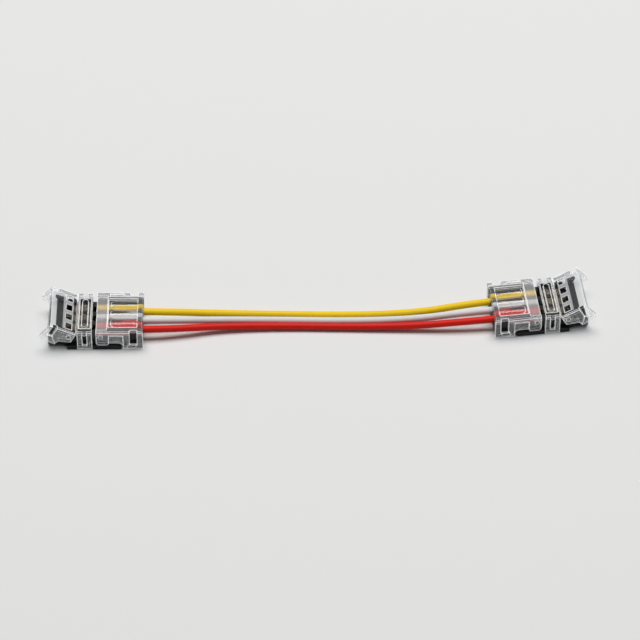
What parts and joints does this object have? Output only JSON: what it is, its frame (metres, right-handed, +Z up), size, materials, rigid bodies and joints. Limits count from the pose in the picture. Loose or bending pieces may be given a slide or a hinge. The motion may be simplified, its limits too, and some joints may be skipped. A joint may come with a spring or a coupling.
{
  "type": "led strip connector",
  "caption": "Lead with clip-on, hinge-lidded strip connectors at its ends, for joining two lengths of LED strip without solder.",
  "frame": {"origin": "middle of the left connector's flat underside", "axes": "+X from the left connector to the right one, along the lead; +Y across; +Z up, out of the surface that both connectors rest on"},
  "size_m": [0.1386, 0.0207, 0.0084],
  "materials": {
    "black_plastic": "satin",
    "clear_plastic": "clear, polished",
    "contact_metal": "tin-plated, satin",
    "yellow_insulation": "satin",
    "white_insulation": "satin",
    "red_insulation": "satin",
    "conductor_metal": "tinned strands"
  },
  "bodies": {
    "lead": {"left_base": "black_plastic", "left_bridge": "clear_plastic", "left_contact_yellow": "contact_metal", "left_contact_white": "contact_metal", "left_contact_red": "contact_metal", "right_base": "black_plastic", "right_bridge": "clear_plastic", "right_contact_yellow": "contact_metal", "right_contact_white": "contact_metal", "right_contact_red": "contact_metal", "wire_yellow_insulation": "yellow_insulation", "wire_yellow_conductor": "conductor_metal", "wire_white_insulation": "white_insulation", "wire_white_conductor": "conductor_metal", "wire_red_insulation": "red_insulation", "wire_red_conductor": "conductor_metal"},
    "left_strip_flap": {"left_strip_flap": "clear_plastic"},
    "left_wire_cover": {"left_wire_cover": "clear_plastic"},
    "right_strip_flap": {"right_strip_flap": "clear_plastic"},
    "right_wire_cover": {"right_wire_cover": "clear_plastic"}
  },
  "joints": [
    {"name": "left_strip_flap_hinge", "type": "hinge", "parent": "lead", "child": "left_strip_flap", "pos_m": [-0.00904, 0, 0.004], "axis": [0, 1, 0], "range_deg": [-28, 14]},
    {"name": "left_wire_cover_hinge", "type": "hinge", "parent": "lead", "child": "left_wire_cover", "pos_m": [-0.00111, 0, 0.004], "axis": [0, -1, 0], "range_deg": [0, 42]},
    {"name": "right_strip_flap_hinge", "type": "hinge", "parent": "lead", "child": "right_strip_flap", "pos_m": [0.11426, 0.00598, 0.004], "axis": [0.1305, -0.9914, 0], "range_deg": [-28, 14]},
    {"name": "right_wire_cover_hinge", "type": "hinge", "parent": "lead", "child": "right_wire_cover", "pos_m": [0.1064, 0.00494, 0.004], "axis": [-0.1305, 0.9914, 0], "range_deg": [0, 42]}
  ]
}
